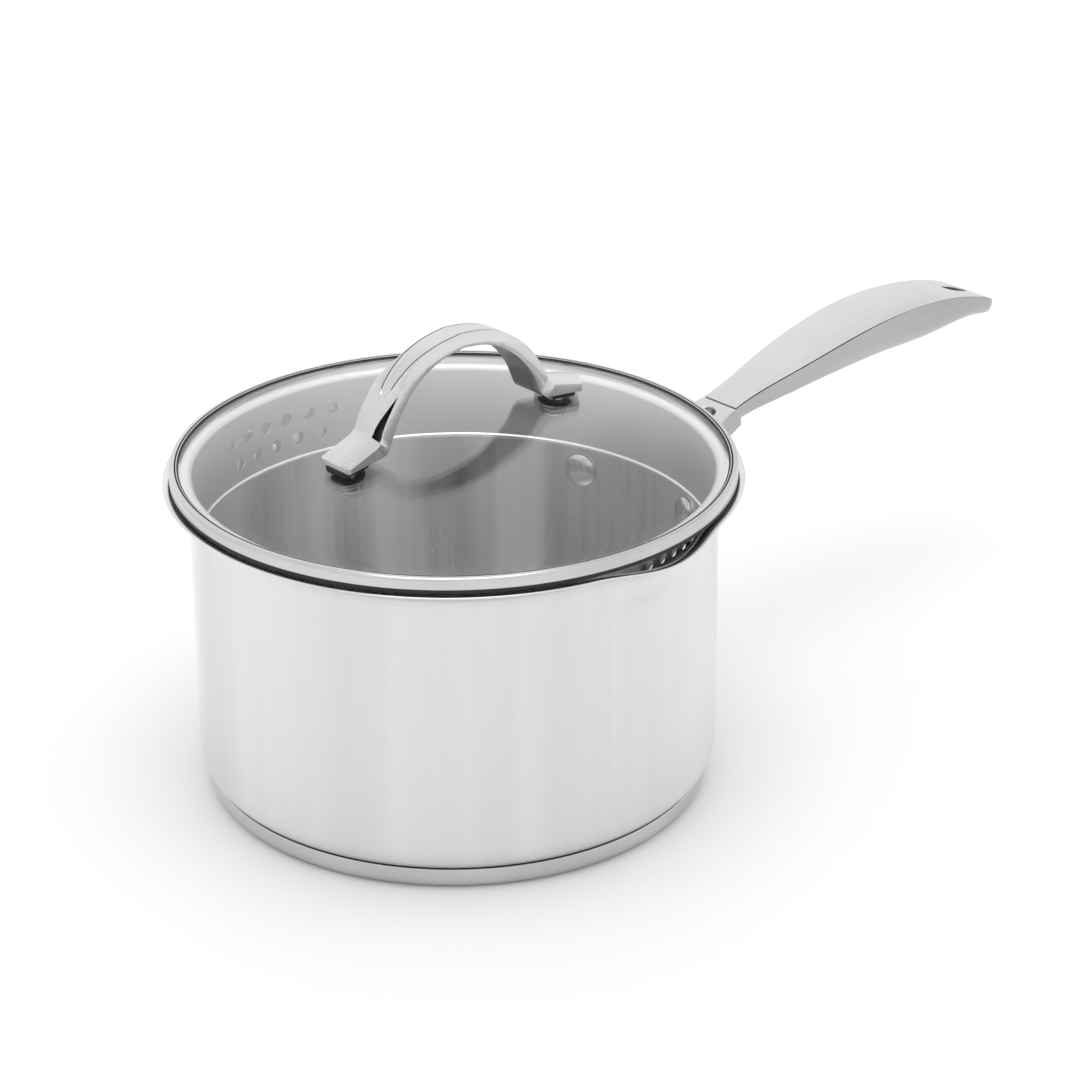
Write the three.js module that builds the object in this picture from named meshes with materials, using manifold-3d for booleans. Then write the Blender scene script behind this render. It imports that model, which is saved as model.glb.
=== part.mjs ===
// Saucepan with a glass strainer lid, built as the separate pieces that it is assembled from.
// Millimetres, +Z up. The origin is the centre of the underside of the base, on the pan's axis.
// +X runs along the long handle. One pouring lip is on the -Y side and the other on the +Y side.
import * as THREE from 'three';
import { mergeVertices } from 'three/addons/utils/BufferGeometryUtils.js';
import Module from 'manifold-3d';

const wasm = await Module();
wasm.setup();

// ---- Driving dimensions ----

const FACETS = 48;                 // flats round the pan and the lid
const SMALL_FACETS = 16;           // flats round a rivet or a screw
const GAP = 0.3;                   // clearance between pieces that meet

// Pan body
const PAN_RADIUS = 91;
const PAN_WALL = 0.8;
const PAN_FLOOR = 6;               // underside of the pressed floor
const PAN_CORNER = 9.5;            // outer radius between floor and wall
const FLARE_START = 105;           // height where the wall starts to curl out
const FLARE_CENTRE = 99.4;         // radius of the circle that the curl turns about
const FLARE_RADIUS = FLARE_CENTRE - PAN_RADIUS;

// Pouring lips, which stand a few degrees off square to the handle
const SPOUT_ANGLE = 94;
const SPOUT_HALF_ANGLE = 19;
const SPOUT_FOOT = 92;
const SPOUT_OUT = 3.2;
const SPOUT_DIP = 2.2;

// Sandwich base
const CAP_RADIUS = 88.1;
const CAP_CORNER = 4.5;
const CAP_WALL = 0.6;
const CAP_TOP = 7.9;
const CORE_RADIUS = 82;
const CORE_TOP = 5.8;

// Lid rim: steel band crimped over the glass, sealing ring and strainer skirt
const BAND_OUTER = 97.4;
const BAND_WALL = 0.6;
const BAND_BOTTOM = 114.3;
const BAND_TOP = 119.9;
const BAND_LIP = 94.65;            // inner edge of the crimp over the glass
const BAND_FOLD = 95.2;            // inner edge of the fold underneath
const STACK_RADIUS = 96.4;         // outer edge of the pieces held inside the band
const STACK_GAP = 0.12;

// Strainer skirt
const SKIRT_OUTER = 89.4;
const SKIRT_WALL = 0.5;
const SKIRT_BOTTOM = 88.4;
const SKIRT_BEND = 1.6;
const SKIRT_HEM = 0.75;            // radius of the rolled lower edge
const FLANGE_BOTTOM = 115.05;
const COARSE_HOLE = 2.5;
const COARSE_ROWS = [{ height: 105, count: 6 }, { height: 96.6, count: 5 }];
const COARSE_PITCH = 6.4;
const FINE_HOLE = 1.5;
const FINE_ROWS = [{ height: 107, count: 9 }, { height: 101.5, count: 8 }, { height: 96, count: 7 }];
const FINE_PITCH = 4.2;

// Sealing ring
const SEAL_INNER = 93.9;
const SEAL_BOTTOM = FLANGE_BOTTOM + SKIRT_WALL + STACK_GAP;
const SEAL_TOP = 116.25;

// Glass
const GLASS_DOME = 340;            // radius of the domed top
const GLASS_APEX = 132.45;
const GLASS_THICKNESS = 2.9;
const GLASS_EDGE_BOTTOM = SEAL_TOP + STACK_GAP;
const GLASS_EDGE_TOP = BAND_TOP - BAND_WALL - STACK_GAP;
const GLASS_HOLE = 3.4;

// Lid bow and its fastenings. The front foot is the longer one, a rest for the thumb beside the handle.
const FOOT_X = 47.5;
const BOW_APEX = 166;
const BOW_WIDTH = 13;              // of the strap at its middle
const STRAP_THICKNESS = 4.4;
const FOOT_WIDTH = 15.2;
const FOOT_THICKNESS = 2.2;        // at the end of the front foot
const GASKET_END = 55.5;
const FOOT_HEEL = 37;              // distance from the middle where a foot starts
const FOOT_BEND = 38.8;             // where the outer face of a leg turns into the foot
const BEND_HEIGHT = 137.5;
const REAR_FOOT = { end: 52.8, endHeight: 132.8 };
const FRONT_FOOT = { end: 62, endHeight: 131.4 };
const SCREW_RADIUS = 2.4;
const SCREW_INTO_FOOT = 2.4;
const SCREW_HEAD_RADIUS = 4.6;
const SCREW_HEAD_HEIGHT = 2.8;
const SCREW_CLEARANCE = 0.3;
const GASKET_THICKNESS = 2;
const SOFT_WASHER_RADIUS = 5.8;
const SOFT_WASHER_THICKNESS = 1.4;
const STEEL_WASHER_RADIUS = 5.1;
const STEEL_WASHER_THICKNESS = 0.9;

// Handle root and rivets
const RIVET_ANGLE = 17.5;
const RIVET_HEIGHT = 79.5;
const RIVET_SHANK = 3;
const RIVET_HEAD = 6.5;
const RIVET_DOME = 2.6;
const RIVET_TAIL = 5;
const PAD_THICKNESS = 3;
const PAD_HALF_HEIGHT = 10.5;
const ARM_BOTTOM = 86.5;           // underside of the arms where they leave the pads
const ARM_TOP = 93;
const ARM_INSIDE = 70;             // the arms' outlines start inside the wall, which then cuts them
const PAD_HALF_SPAN = 38;          // from the handle's centreline to the outer edge of a pad
const NECK_HALF_WIDTH = 8.2;
const WINDOW_END = 123.5;          // centre of the rounded end of the gap between the arms
const WINDOW_ROUND = 3.6;
const WINDOW_HALF_WIDTH = 15;      // of that gap at the wall

// Handle. Each table gives a size at distances from the pan's axis.
const HANDLE_ROOT = 131;
const HANDLE_TIP = 277.3;
const HANDLE_TIP_ROUND = 10;       // length of the rounded end
const HANDLE_TOP = [
  [118, 98.6], [134, 102.9], [170, 112.5], [206, 118.4], [236, 117.9], [262, 112.2], [279, 104.8],
];
const HANDLE_HALF_WIDTH = [
  [118, 8.6], [140, 8], [170, 11.5], [205, 13.1], [240, 12.6], [270, 11.6], [279, 10.4],
];
const HANDLE_DEPTH = [
  [118, 8], [140, 9.7], [165, 13.8], [205, 18.4], [236, 18.3], [262, 10.8], [279, 6.2],
];
const HANDLE_WALL = 1.2;
const HANDLE_HOLLOW_END = 246;     // past this the handle is solid, round the hanging hole
const TANG_END = 148;
const TANG_HALF_WIDTH = 4.6;
const TANG_OVER = 1.8;             // the tang's upper face, below the handle's top face
const TANG_UNDER = 5;              // its lower face
const HANG_HOLE_X = 261;
const HANG_HOLE_LENGTH = 12;
const HANG_HOLE_WIDTH = 8;
const BELLY_SQUARENESS = 2.5;      // 2 is an ellipse, higher is squarer

// ---- Finishes ----

const polished = () => new THREE.MeshStandardMaterial({ color: 0xd9dadb, metalness: 1, roughness: 0.12 });
const satin = () => new THREE.MeshStandardMaterial({ color: 0xc4c5c6, metalness: 1, roughness: 0.34 });
const dull = () => new THREE.MeshStandardMaterial({ color: 0xa9abad, metalness: 1, roughness: 0.5 });
const silicone = () => new THREE.MeshStandardMaterial({ color: 0x161616, metalness: 0, roughness: 0.7 });
const clearGlass = () => new THREE.MeshStandardMaterial({
  color: 0xe6ecea, metalness: 0, roughness: 0.03, transparent: true, opacity: 0.35,
});

// ---- Solids and booleans ----

// A closed geometry as a manifold-3d solid. Triangles that shrink to a line on the axis are dropped.
function solidOf(geometry) {
  const bare = geometry.clone();
  bare.deleteAttribute('normal');
  bare.deleteAttribute('uv');
  const merged = mergeVertices(bare, 1e-4);
  const triangles = [];
  const index = merged.index.array;
  for (let i = 0; i < index.length; i += 3) {
    const [a, b, c] = index.slice(i, i + 3);
    if (a !== b && b !== c && c !== a) triangles.push(a, b, c);
  }
  return new wasm.Manifold(new wasm.Mesh({
    numProp: 3,
    vertProperties: merged.getAttribute('position').array,
    triVerts: new Uint32Array(triangles),
  }));
}

function geometryOf(solid) {
  const mesh = solid.getMesh();
  const geometry = new THREE.BufferGeometry();
  geometry.setAttribute('position', new THREE.BufferAttribute(mesh.vertProperties, 3));
  geometry.setIndex(new THREE.BufferAttribute(mesh.triVerts, 1));
  return geometry;
}

function cutFrom(solid, tools) {
  return tools.reduce((left, tool) => left.subtract(tool), solid);
}

// ---- Basic shapes ----

const point = (x, y) => new THREE.Vector2(x, y);

// Points on an arc, without its first one. Angles are in degrees.
function arc(centreX, centreY, radius, from, to, steps) {
  const points = [];
  for (let i = 1; i <= steps; i++) {
    const angle = THREE.MathUtils.degToRad(from + (to - from) * i / steps);
    points.push(point(centreX + radius * Math.cos(angle), centreY + radius * Math.sin(angle)));
  }
  return points;
}

// A profile of (radius, height) points turned about the Z axis.
function turned(profile, facets) {
  return new THREE.LatheGeometry(profile, facets).rotateX(Math.PI / 2);
}

// The same for a profile that closes on itself, given counterclockwise.
function turnedRing(profile, facets) {
  return turned([...profile, profile[0]], facets);
}

function disc(radius, bottom, top, facets) {
  return turned([point(0, bottom), point(radius, bottom), point(radius, top), point(0, top)], facets);
}

function washer(inner, outer, bottom, top) {
  return turnedRing([
    point(inner, bottom), point(outer, bottom), point(outer, top), point(inner, top),
  ], SMALL_FACETS);
}

// An outline in the XY plane extruded along Z.
function plate(outline, bottom, top, curveSegments = 8) {
  const depth = top - bottom;
  const geometry = new THREE.ExtrudeGeometry(outline, { depth, bevelEnabled: false, curveSegments });
  return geometry.translate(0, 0, bottom);
}

// An outline in the XZ plane extruded along Y, centred on the XZ plane.
function sideways(outline, width, curveSegments = 8) {
  return plate(outline, -width / 2, width / 2, curveSegments).rotateX(Math.PI / 2);
}

// Moves every vertex of a geometry by a function of its position.
function reshape(geometry, move) {
  const position = geometry.getAttribute('position');
  const vertex = new THREE.Vector3();
  for (let i = 0; i < position.count; i++) {
    vertex.fromBufferAttribute(position, i);
    move(vertex);
    position.setXYZ(i, vertex.x, vertex.y, vertex.z);
  }
  return geometry;
}

// ---- Pan ----

function pressSpouts(geometry) {
  const spout = THREE.MathUtils.degToRad(SPOUT_ANGLE);
  const half = THREE.MathUtils.degToRad(SPOUT_HALF_ANGLE);
  return reshape(geometry, (vertex) => {
    const radius = Math.hypot(vertex.x, vertex.y);
    const turn = Math.atan2(vertex.y, vertex.x) - spout;
    const offLine = Math.abs(Math.asin(Math.sin(turn)));
    const across = Math.min(offLine / half, 1);
    const rise = THREE.MathUtils.smoothstep(vertex.z, SPOUT_FOOT, FLARE_START);
    const share = rise * (0.5 + 0.5 * Math.cos(Math.PI * across));
    if (radius > PAN_RADIUS / 2) {
      const stretch = 1 + SPOUT_OUT * share / radius;
      vertex.x *= stretch;
      vertex.y *= stretch;
      vertex.z -= SPOUT_DIP * share;
    }
  });
}

function panProfile() {
  const inner = PAN_RADIUS - PAN_WALL;
  const cornerX = PAN_RADIUS - PAN_CORNER;
  const cornerZ = PAN_FLOOR + PAN_CORNER;
  const upperFlare = FLARE_RADIUS + PAN_WALL;
  return [
    point(0, PAN_FLOOR),
    point(cornerX, PAN_FLOOR),
    ...arc(cornerX, cornerZ, PAN_CORNER, -90, 0, 4),
    point(PAN_RADIUS, SPOUT_FOOT),
    point(PAN_RADIUS, (SPOUT_FOOT + FLARE_START) / 2),
    point(PAN_RADIUS, FLARE_START),
    ...arc(FLARE_CENTRE, FLARE_START, FLARE_RADIUS, 180, 90, 4),
    point(FLARE_CENTRE + PAN_WALL / 3, FLARE_START + (FLARE_RADIUS + upperFlare) / 2),
    point(FLARE_CENTRE, FLARE_START + upperFlare),
    ...arc(FLARE_CENTRE, FLARE_START, upperFlare, 90, 180, 4),
    point(inner, (SPOUT_FOOT + FLARE_START) / 2),
    point(inner, SPOUT_FOOT),
    point(inner, cornerZ),
    ...arc(cornerX, cornerZ, PAN_CORNER - PAN_WALL, 0, -90, 3),
    point(0, PAN_FLOOR + PAN_WALL),
  ];
}

// Something made along +X, put at a rivet: side is 1 for the rivet at +Y and -1 for the other.
function atRivet(geometry, side) {
  return geometry
    .translate(0, 0, RIVET_HEIGHT)
    .rotateZ(THREE.MathUtils.degToRad(side * RIVET_ANGLE));
}

function rivetHole(side) {
  const hole = disc(RIVET_SHANK + GAP, PAN_RADIUS - 8, PAN_RADIUS + 8, SMALL_FACETS);
  return solidOf(atRivet(hole.rotateY(Math.PI / 2), side));
}

function panBody() {
  const pressed = pressSpouts(turned(panProfile(), FACETS));
  return geometryOf(cutFrom(solidOf(pressed), [rivetHole(1), rivetHole(-1)]));
}

function baseCoreDisc() {
  return disc(CORE_RADIUS, CAP_WALL + GAP, CORE_TOP - GAP / 2, FACETS);
}

function baseCap() {
  const cornerX = CAP_RADIUS - CAP_CORNER;
  return turned([
    point(0, 0),
    point(cornerX, 0),
    ...arc(cornerX, CAP_CORNER, CAP_CORNER, -90, 0, 3),
    point(CAP_RADIUS, CAP_TOP),
    point(CAP_RADIUS - CAP_WALL, CAP_TOP),
    ...arc(cornerX, CAP_CORNER, CAP_CORNER - CAP_WALL, 0, -90, 3),
    point(0, CAP_WALL),
  ], FACETS);
}

// ---- Lid rim ----

function lidBand() {
  const inside = BAND_OUTER - BAND_WALL;
  return turnedRing([
    point(BAND_FOLD, BAND_BOTTOM),
    point(inside, BAND_BOTTOM),
    ...arc(inside, BAND_BOTTOM + BAND_WALL, BAND_WALL, -90, 0, 2),
    ...arc(inside, BAND_TOP - BAND_WALL, BAND_WALL, 0, 90, 2).slice(0, 2),
    point(BAND_LIP, BAND_TOP),
    point(BAND_LIP, BAND_TOP - BAND_WALL),
    point(inside, BAND_TOP - BAND_WALL),
    point(inside, BAND_BOTTOM + BAND_WALL),
    point(BAND_FOLD, BAND_BOTTOM + BAND_WALL),
  ], FACETS);
}

function sealingRing() {
  return turnedRing([
    point(SEAL_INNER, SEAL_BOTTOM),
    point(STACK_RADIUS, SEAL_BOTTOM),
    point(STACK_RADIUS, SEAL_TOP),
    point(SEAL_INNER, SEAL_TOP),
  ], FACETS);
}

// Holes through the skirt, in staggered rows centred on one direction.
function skirtHoles(rows, radius, pitch, centre, facets) {
  const holes = [];
  for (const row of rows) {
    for (let i = 0; i < row.count; i++) {
      const angle = centre + pitch * (i - (row.count - 1) / 2);
      const hole = disc(radius, SKIRT_OUTER - 3, SKIRT_OUTER + 3, facets)
        .rotateY(Math.PI / 2)
        .translate(0, 0, row.height)
        .rotateZ(THREE.MathUtils.degToRad(angle));
      holes.push(solidOf(hole));
    }
  }
  return holes;
}

function strainerSkirt() {
  const inner = SKIRT_OUTER - SKIRT_WALL;
  const flangeTop = FLANGE_BOTTOM + SKIRT_WALL;
  const bendX = SKIRT_OUTER + SKIRT_BEND;
  const bendZ = FLANGE_BOTTOM - SKIRT_BEND;
  const hemZ = SKIRT_BOTTOM + SKIRT_HEM;
  const section = [
    point(SKIRT_OUTER, hemZ + SKIRT_HEM),
    point(SKIRT_OUTER, bendZ),
    ...arc(bendX, bendZ, SKIRT_BEND, 180, 90, 2),
    point(STACK_RADIUS, FLANGE_BOTTOM),
    point(STACK_RADIUS, flangeTop),
    point(bendX, flangeTop),
    ...arc(bendX, bendZ, SKIRT_BEND + SKIRT_WALL, 90, 180, 3),
    point(inner, hemZ + SKIRT_HEM),
    point(inner - SKIRT_HEM, hemZ),
    point(inner - SKIRT_HEM / 2, SKIRT_BOTTOM),
    point(inner + SKIRT_HEM / 3, SKIRT_BOTTOM),
    point(SKIRT_OUTER, hemZ),
  ];
  const holes = [
    ...skirtHoles(COARSE_ROWS, COARSE_HOLE, COARSE_PITCH, SPOUT_ANGLE, 8),
    ...skirtHoles(FINE_ROWS, FINE_HOLE, FINE_PITCH, SPOUT_ANGLE + 180, 6),
  ];
  return geometryOf(cutFrom(solidOf(turnedRing(section, FACETS)), holes));
}

// ---- Glass ----

// Height of the domed top, or of the inside of the glass, at a radius.
function domeTop(radius) {
  return GLASS_APEX - GLASS_DOME + Math.sqrt(GLASS_DOME ** 2 - radius ** 2);
}

function domeInside(radius) {
  const dome = GLASS_DOME - GLASS_THICKNESS;
  return GLASS_APEX - GLASS_DOME + Math.sqrt(dome ** 2 - radius ** 2);
}

const FOOT_SLOPE = Math.asin(FOOT_X / GLASS_DOME);

// Puts a geometry made on the glass surface, with its outward side at +Z, under one foot of the bow.
function atFoot(geometry, side) {
  return geometry
    .rotateY(side * FOOT_SLOPE)
    .translate(side * FOOT_X, 0, domeTop(FOOT_X));
}

function lidGlass() {
  const topRadii = [94, 56, 40, 0];
  const insideRadii = [0, 40, 56, 93];
  const blank = turned([
    ...insideRadii.map((radius) => point(radius, domeInside(radius))),
    point(SEAL_INNER, GLASS_EDGE_BOTTOM),
    point(STACK_RADIUS, GLASS_EDGE_BOTTOM),
    point(STACK_RADIUS, GLASS_EDGE_TOP - STACK_GAP),
    ...topRadii.map((radius) => point(radius, domeTop(radius))),
  ], FACETS);
  const holes = [1, -1].map((side) => solidOf(atFoot(disc(GLASS_HOLE, -8, 8, SMALL_FACETS), side)));
  return geometryOf(cutFrom(solidOf(blank), holes));
}

// ---- Lid bow ----

// Side view of the bow: a strap bent into an arch, thicker at the legs, with a foot at each end.
function bowSide() {
  const outside = [[10, 1.4], [20, 4.9], [28, 11], [34, 19], [36.8, 23.6]];
  const inside = [[10, 6.2], [20, 10.4], [27.5, 16.6], [32.5, 23.6]];
  const right = (drops) => drops.map(([x, drop]) => point(x, BOW_APEX - drop));
  const left = (drops) => drops.map(([x, drop]) => point(-x, BOW_APEX - drop)).reverse();
  const sole = (x) => domeTop(x) + GASKET_THICKNESS + 2 * GAP;
  const heel = [FOOT_HEEL - 1.8, sole(FOOT_HEEL) + 2.5];
  const middle = point(0, BOW_APEX - STRAP_THICKNESS);

  const shape = new THREE.Shape();
  shape.moveTo(FOOT_BEND, BEND_HEIGHT);
  shape.splineThru([...right(outside).reverse(), point(0, BOW_APEX), ...left(outside).reverse()]);
  shape.lineTo(-FOOT_BEND, BEND_HEIGHT);
  shape.lineTo(-REAR_FOOT.end, REAR_FOOT.endHeight);
  shape.lineTo(-REAR_FOOT.end, sole(REAR_FOOT.end));
  shape.lineTo(-FOOT_HEEL, sole(FOOT_HEEL));
  shape.lineTo(-heel[0], heel[1]);
  shape.splineThru([...left(inside), middle, ...right(inside)]);
  shape.lineTo(heel[0], heel[1]);
  shape.lineTo(FOOT_HEEL, sole(FOOT_HEEL));
  shape.lineTo(GASKET_END, sole(GASKET_END));
  shape.lineTo(FRONT_FOOT.end, FRONT_FOOT.endHeight - FOOT_THICKNESS);
  shape.lineTo(FRONT_FOOT.end, FRONT_FOOT.endHeight);
  return shape;
}

// Plan view of the bow: a strap that widens into the feet. The front foot is cut off askew.
function bowPlan() {
  const strap = BOW_WIDTH / 2;
  const foot = FOOT_WIDTH / 2;
  const side = [[20, strap], [31, strap + 0.2], [36, strap + 0.6], [41, foot]];
  const right = (sign) => side.map(([x, y]) => point(x, sign * y));
  const left = (sign) => side.map(([x, y]) => point(-x, sign * y)).reverse();
  const corner = 1;
  return new THREE.Shape([
    ...right(-1),
    point(53.4, -foot),
    point(FRONT_FOOT.end - 1.2, 1.6),
    point(FRONT_FOOT.end, foot - 2),
    point(FRONT_FOOT.end - 2, foot),
    ...right(1).reverse(),
    ...left(1).reverse(),
    point(corner - REAR_FOOT.end, foot),
    point(-REAR_FOOT.end, foot - corner),
    point(-REAR_FOOT.end, corner - foot),
    point(corner - REAR_FOOT.end, -foot),
    ...left(-1),
  ]);
}

function lidBow() {
  const arch = solidOf(sideways(bowSide(), FOOT_WIDTH + 2, 5));
  const outline = solidOf(plate(bowPlan(), domeTop(0) - 20, BOW_APEX + 5));
  const deep = GASKET_THICKNESS + 2 * GAP + SCREW_INTO_FOOT;
  const threads = [1, -1].map((side) => (
    solidOf(atFoot(disc(SCREW_RADIUS + SCREW_CLEARANCE, -5, deep, SMALL_FACETS), side))
  ));
  return geometryOf(cutFrom(arch.intersect(outline), threads));
}

function footGasket(side) {
  const half = FOOT_WIDTH / 2 - 2.2;
  const chamfer = 1.6;
  const outline = new THREE.Shape([
    point(-half, -half), point(half - chamfer, -half), point(half, chamfer - half),
    point(half, half - chamfer), point(half - chamfer, half), point(-half, half),
  ]);
  const hole = new THREE.Path().absarc(0, 0, SCREW_RADIUS + SCREW_CLEARANCE, 0, 2 * Math.PI, true);
  outline.holes.push(hole);
  const pad = plate(outline, GAP, GAP + GASKET_THICKNESS);
  return atFoot(side > 0 ? pad : pad.rotateZ(Math.PI), side);
}

const SOFT_WASHER_TOP = -GLASS_THICKNESS - GAP;
const STEEL_WASHER_TOP = SOFT_WASHER_TOP - SOFT_WASHER_THICKNESS - GAP;
const SCREW_HEAD_TOP = STEEL_WASHER_TOP - STEEL_WASHER_THICKNESS - GAP;

function softWasher(side) {
  const hole = SCREW_RADIUS + SCREW_CLEARANCE;
  const bottom = SOFT_WASHER_TOP - SOFT_WASHER_THICKNESS;
  return atFoot(washer(hole, SOFT_WASHER_RADIUS, bottom, SOFT_WASHER_TOP), side);
}

function steelWasher(side) {
  const hole = SCREW_RADIUS + SCREW_CLEARANCE;
  const bottom = STEEL_WASHER_TOP - STEEL_WASHER_THICKNESS;
  return atFoot(washer(hole, STEEL_WASHER_RADIUS, bottom, STEEL_WASHER_TOP), side);
}

function lidScrew(side) {
  const end = GASKET_THICKNESS + 2 * GAP + SCREW_INTO_FOOT - GAP;
  const base = SCREW_HEAD_TOP - SCREW_HEAD_HEIGHT;
  const screw = turned([
    point(0, base),
    point(SCREW_HEAD_RADIUS * 0.75, base),
    point(SCREW_HEAD_RADIUS, base + SCREW_HEAD_HEIGHT / 2),
    point(SCREW_HEAD_RADIUS, SCREW_HEAD_TOP),
    point(SCREW_RADIUS, SCREW_HEAD_TOP),
    point(SCREW_RADIUS, end),
    point(0, end),
  ], SMALL_FACETS);
  return atFoot(screw, side);
}

// ---- Handle root ----

// A domed head inside the pan, a shank through the wall and the pad, and a set tail outside.
function handleRivet(side) {
  const headBack = PAN_RADIUS - PAN_WALL - GAP - 0.2;
  const headFront = headBack - RIVET_DOME;
  const tailBack = PAN_RADIUS + GAP + PAD_THICKNESS + GAP;
  const rivet = turned([
    point(0, headFront),
    point(RIVET_HEAD * 0.55, headFront + RIVET_DOME * 0.2),
    point(RIVET_HEAD * 0.9, headFront + RIVET_DOME * 0.6),
    point(RIVET_HEAD, headBack),
    point(RIVET_SHANK, headBack),
    point(RIVET_SHANK, tailBack),
    point(RIVET_TAIL, tailBack),
    point(RIVET_TAIL * 0.85, tailBack + 1.3),
    point(0, tailBack + 1.8),
  ], SMALL_FACETS);
  return atRivet(rivet.rotateY(Math.PI / 2), side);
}

// Plan view of the forked root: two arms from the rivet pads that join in the neck.
function forkPlan() {
  const neck = HANDLE_ROOT - GAP;
  const edge = [[100, 30], [112, 17.5], [122, 10]];
  const side = (sign) => edge.map(([x, y]) => point(x, sign * y));
  const shape = new THREE.Shape();
  shape.moveTo(TANG_END, -TANG_HALF_WIDTH);
  shape.lineTo(TANG_END, TANG_HALF_WIDTH);
  shape.lineTo(neck, TANG_HALF_WIDTH);
  shape.lineTo(neck, NECK_HALF_WIDTH);
  shape.splineThru([...side(1).reverse(), point(84, PAD_HALF_SPAN)]);
  shape.lineTo(ARM_INSIDE, WINDOW_HALF_WIDTH);
  shape.lineTo(ARM_INSIDE, -WINDOW_HALF_WIDTH);
  shape.lineTo(84, -PAD_HALF_SPAN);
  shape.splineThru([...side(-1), point(neck, -NECK_HALF_WIDTH)]);
  shape.lineTo(neck, -TANG_HALF_WIDTH);
  return shape;
}

function forkWindow() {
  const wide = WINDOW_HALF_WIDTH;
  const shape = new THREE.Shape();
  shape.moveTo(ARM_INSIDE, wide);
  shape.lineTo(96, wide);
  shape.splineThru([point(108, 8.5), point(WINDOW_END, WINDOW_ROUND)]);
  shape.absarc(WINDOW_END, 0, WINDOW_ROUND, Math.PI / 2, -Math.PI / 2, true);
  shape.splineThru([point(108, -8.5), point(96, -wide)]);
  shape.lineTo(ARM_INSIDE, -wide);
  return shape;
}

// Side view of the forked root: upright pads at the wall, arms that climb to the neck, and a tang.
function forkSide() {
  const neck = HANDLE_ROOT - GAP;
  const underHandle = (x, drop) => [x, handleTop(x) - drop];
  const padBottom = RIVET_HEIGHT - PAD_HALF_HEIGHT;
  const armLeaves = PAN_RADIUS + GAP + PAD_THICKNESS + 2;
  const shape = new THREE.Shape();
  shape.moveTo(ARM_INSIDE, padBottom);
  shape.lineTo(armLeaves, padBottom);
  shape.lineTo(armLeaves, ARM_BOTTOM);
  shape.splineThru([point(110, ARM_BOTTOM + 0.6), point(121, ARM_BOTTOM + 3), point(neck, 94)]);
  shape.lineTo(...underHandle(neck, TANG_UNDER));
  shape.lineTo(...underHandle(TANG_END, TANG_UNDER));
  shape.lineTo(...underHandle(TANG_END, TANG_OVER));
  shape.lineTo(...underHandle(neck, TANG_OVER));
  shape.lineTo(...underHandle(neck, 0));
  shape.splineThru([point(118, handleTop(118)), point(106, 95.2), point(94, ARM_TOP)]);
  shape.lineTo(ARM_INSIDE, ARM_TOP);
  return shape;
}

function handleFork() {
  const [low, high] = [RIVET_HEIGHT - 2 * PAD_HALF_HEIGHT, handleTop(HANDLE_ROOT) + 20];
  const side = solidOf(sideways(forkSide(), 2 * PAD_HALF_SPAN + 10));
  const plan = solidOf(plate(forkPlan(), low, high, 6));
  const window = solidOf(plate(forkWindow(), low, high, 6));
  const wallZone = solidOf(disc(PAN_RADIUS + GAP, low - 5, high + 5, FACETS * 2));
  const padFace = PAN_RADIUS + GAP + PAD_THICKNESS;
  const overPads = solidOf(turnedRing([
    point(padFace, low), point(TANG_END, low), point(TANG_END, ARM_BOTTOM), point(padFace, ARM_BOTTOM),
  ], FACETS * 2));
  const tools = [window, wallZone, overPads, rivetHole(1), rivetHole(-1)];
  return geometryOf(cutFrom(side.intersect(plan), tools));
}

// ---- Handle ----

// A smooth curve through (x, value) pairs, read as value at x.
function smoothThrough(pairs) {
  const curve = new THREE.SplineCurve(pairs.map(([x, value]) => point(x, value)));
  const samples = curve.getPoints(200);
  return (x) => {
    const after = samples.findIndex((sample) => sample.x >= x);
    if (after === -1) return samples[samples.length - 1].y;
    if (after === 0) return samples[0].y;
    const [a, b] = [samples[after - 1], samples[after]];
    return a.y + (b.y - a.y) * (x - a.x) / (b.x - a.x);
  };
}

const handleTop = smoothThrough(HANDLE_TOP);
const handleHalfWidth = smoothThrough(HANDLE_HALF_WIDTH);
const handleDepth = smoothThrough(HANDLE_DEPTH);

// The handle's outer form, or with an inset the form that lies that far inside it. Its section is
// flat on top with a rounded belly below, and its rings stand closer together towards the tip.
function handleForm(inset, from, to) {
  const form = new THREE.CylinderGeometry(1, 1, 1, 20, 16).rotateZ(-Math.PI / 2);
  const power = 2 / BELLY_SQUARENESS;
  return reshape(form, (vertex) => {
    const along = Math.sin((vertex.x + 0.5) * Math.PI / 2) ** 1.2;
    const x = from + (to - from) * along;
    const beyond = Math.max(0, x - (HANDLE_TIP - HANDLE_TIP_ROUND)) / HANDLE_TIP_ROUND;
    const rounding = Math.sqrt(Math.max(0.2, 1 - beyond ** 2));
    const half = handleHalfWidth(x) * rounding - inset;
    const depth = handleDepth(x) - 2 * inset;
    const angle = Math.atan2(vertex.z, vertex.y);
    const ring = Math.hypot(vertex.y, vertex.z);
    const acrossShare = Math.sign(Math.cos(angle)) * Math.abs(Math.cos(angle)) ** power;
    const downShare = Math.max(0, -Math.sin(angle)) ** power;
    vertex.x = x;
    vertex.y = half * acrossShare * ring;
    vertex.z = handleTop(x) - inset - depth * downShare * ring;
  });
}

// Everything above a line that lies a given distance under the handle's top face.
function aboveTopFace(under) {
  const steps = 16;
  const start = HANDLE_ROOT - 5;
  const end = HANDLE_TIP + 5;
  const high = Math.max(...HANDLE_TOP.map(([, z]) => z)) + 20;
  const line = [];
  for (let i = 0; i <= steps; i++) {
    const x = start + (end - start) * i / steps;
    line.push(point(x, handleTop(x) - under));
  }
  return solidOf(sideways(new THREE.Shape([...line, point(end, high), point(start, high)]), 60));
}

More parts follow.
